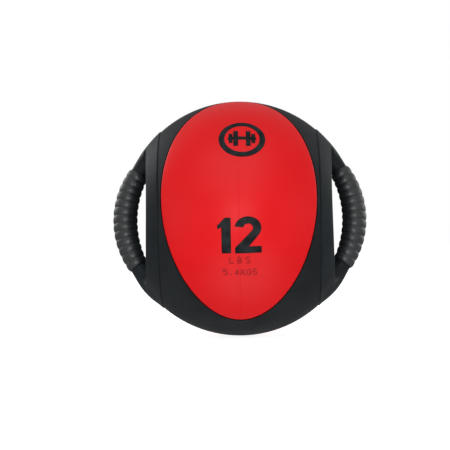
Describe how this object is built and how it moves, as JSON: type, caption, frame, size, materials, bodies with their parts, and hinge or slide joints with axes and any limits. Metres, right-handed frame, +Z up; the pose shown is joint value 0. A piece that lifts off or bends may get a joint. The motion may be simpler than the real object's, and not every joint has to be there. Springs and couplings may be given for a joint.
{
  "type": "medicine ball",
  "caption": "Thick-walled rubber medicine ball with coloured oval panels and an arched ribbed grip across a dished cup on each side.",
  "frame": {"origin": "centre of the ball, which is also the middle of its bounding box", "axes": "+X along the line through both grips, towards the grip on the right of someone facing the printed panel; +Z up as the ball is set down for show; the printed front panel faces -Y and is tipped up by 13.3 degrees"},
  "size_m": [0.2762, 0.2546, 0.254],
  "materials": {
    "black_rubber": "fine moulded texture, satin",
    "red_rubber": "smooth moulded, satin",
    "bladder_rubber": "smooth butyl",
    "valve_rubber": "smooth moulded",
    "cup_plastic": "fine moulded texture, satin",
    "bar_steel": "black powder coat",
    "grip_rubber": "smooth moulded, ribbed",
    "screw_steel": "zinc plated"
  },
  "bodies": {
    "root": {"shell_front_half": "black_rubber", "shell_back_half": "black_rubber", "front_panel": "red_rubber", "back_panel": "red_rubber", "bladder": "bladder_rubber", "valve_housing": "valve_rubber", "valve_plug": "valve_rubber", "left_cup": "cup_plastic", "right_cup": "cup_plastic", "left_grip_bar": "bar_steel", "right_grip_bar": "bar_steel", "left_grip_sleeve": "grip_rubber", "right_grip_sleeve": "grip_rubber", "left_bar_screws": "screw_steel", "right_bar_screws": "screw_steel", "left_bar_washers": "screw_steel", "right_bar_washers": "screw_steel"}
  },
  "joints": []
}
